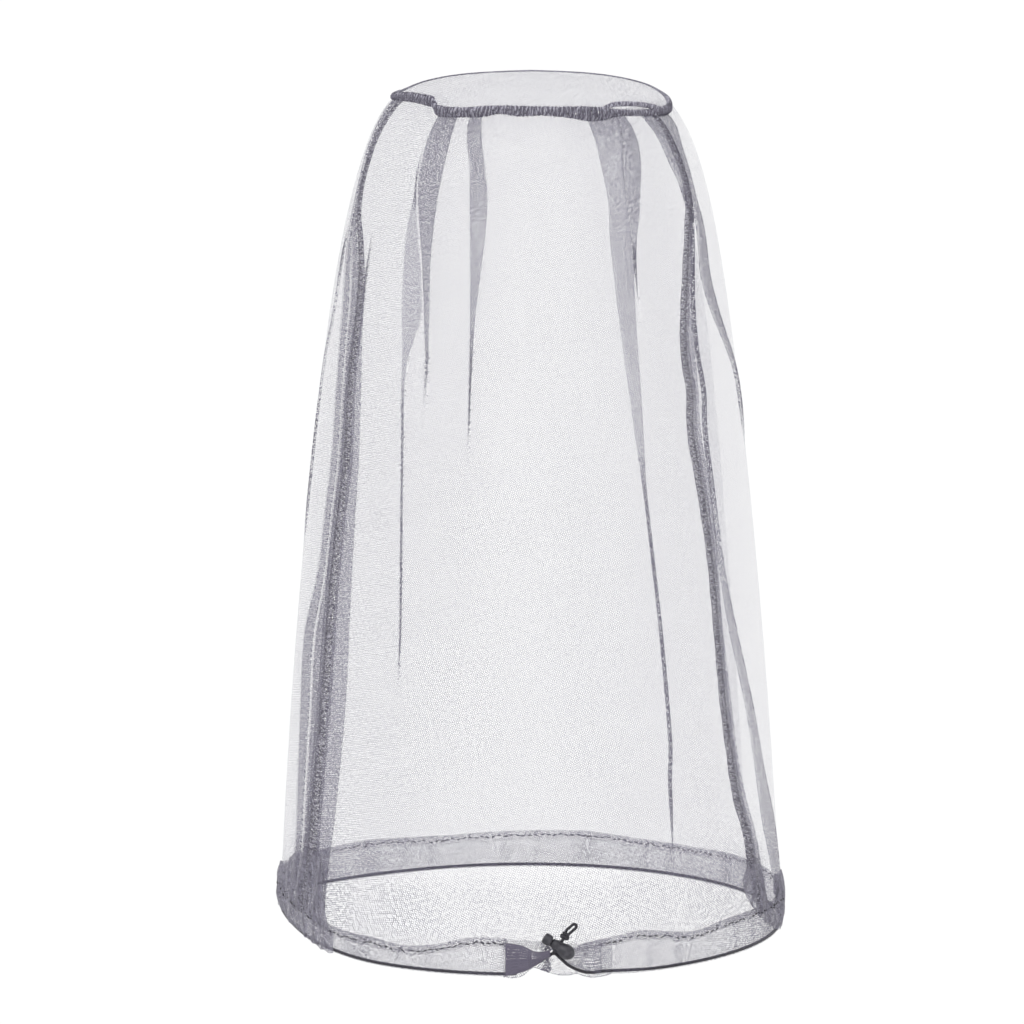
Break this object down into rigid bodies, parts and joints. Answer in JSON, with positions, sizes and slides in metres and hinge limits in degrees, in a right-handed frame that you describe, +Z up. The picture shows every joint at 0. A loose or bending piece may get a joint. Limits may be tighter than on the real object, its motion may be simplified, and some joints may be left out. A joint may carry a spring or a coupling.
{
  "type": "beekeeping veil",
  "caption": "Slip-over veil of fine mesh with a round gathered crown, side seams and a turned-up hem drawn in by an elastic cord with a spring cord lock.",
  "frame": {"origin": "underside of the crown's centre, where the top of the wearer's hat or head touches the net", "axes": "+Z up along the veil's axis, -Y to the front where the draw cord leaves the hem, +X to the right as seen from the front"},
  "size_m": [0.2856, 0.2951, 0.4825],
  "materials": {
    "net_mesh": "fine open warp-knitted polyester mesh, matte",
    "seam_mesh": "the same mesh folded and gathered in several layers, matte",
    "hem_mesh": "the same mesh doubled in the hem, matte",
    "thread": "spun polyester sewing thread",
    "elastic_cord": "braided cover over a rubber core",
    "lock_plastic": "moulded acetal with a fine satin texture",
    "spring_steel": "drawn wire"
  },
  "bodies": {
    "root": {"crown_net": "net_mesh", "crown_gathered_seam": "seam_mesh", "crown_overlock_thread": "thread", "front_net": "net_mesh", "back_net": "net_mesh", "left_side_seam": "seam_mesh", "right_side_seam": "seam_mesh", "left_overlock_thread": "thread", "right_overlock_thread": "thread"},
    "hem": {"front_hem_casing": "hem_mesh", "back_hem_casing": "hem_mesh", "front_hem_stitching": "thread", "back_hem_stitching": "thread", "cord_exit_facing": "hem_mesh", "left_casing_mouth": "hem_mesh", "right_casing_mouth": "hem_mesh", "draw_cord": "elastic_cord", "draw_cord_ends": "elastic_cord"},
    "lock": {"lock_barrel": "lock_plastic", "lock_spring": "spring_steel"},
    "plunger": {"lock_plunger": "lock_plastic"},
    "tail": {"tail_strands": "elastic_cord", "cord_knot": "elastic_cord", "cord_end_loop": "elastic_cord"}
  },
  "joints": [
    {"name": "hem_lift", "type": "slide", "parent": "root", "child": "hem", "axis": [0, 0, 1], "range_m": [0, 0.12], "deforming": ["front_net", "back_net", "left_side_seam", "right_side_seam", "left_overlock_thread", "right_overlock_thread"]},
    {"name": "lock_swing", "type": "hinge", "parent": "hem", "child": "lock", "pos_m": [0.01193, -0.148, -0.46701], "axis": [0, 1, 0], "range_deg": [-20, 20], "stiffness_Nm_per_rad": 0.004},
    {"name": "plunger_press", "type": "slide", "parent": "lock", "child": "plunger", "axis": [0.829, 0, -0.5592], "range_m": [0, 0.0022], "stiffness_N_per_m": 300, "springref_m": -0.002, "deforming": ["lock_spring"]},
    {"name": "cord_pull", "type": "slide", "parent": "lock", "child": "tail", "axis": [0.5592, 0, 0.829], "range_m": [0, 0.03], "stiffness_N_per_m": 10, "deforming": ["tail_strands"]}
  ]
}
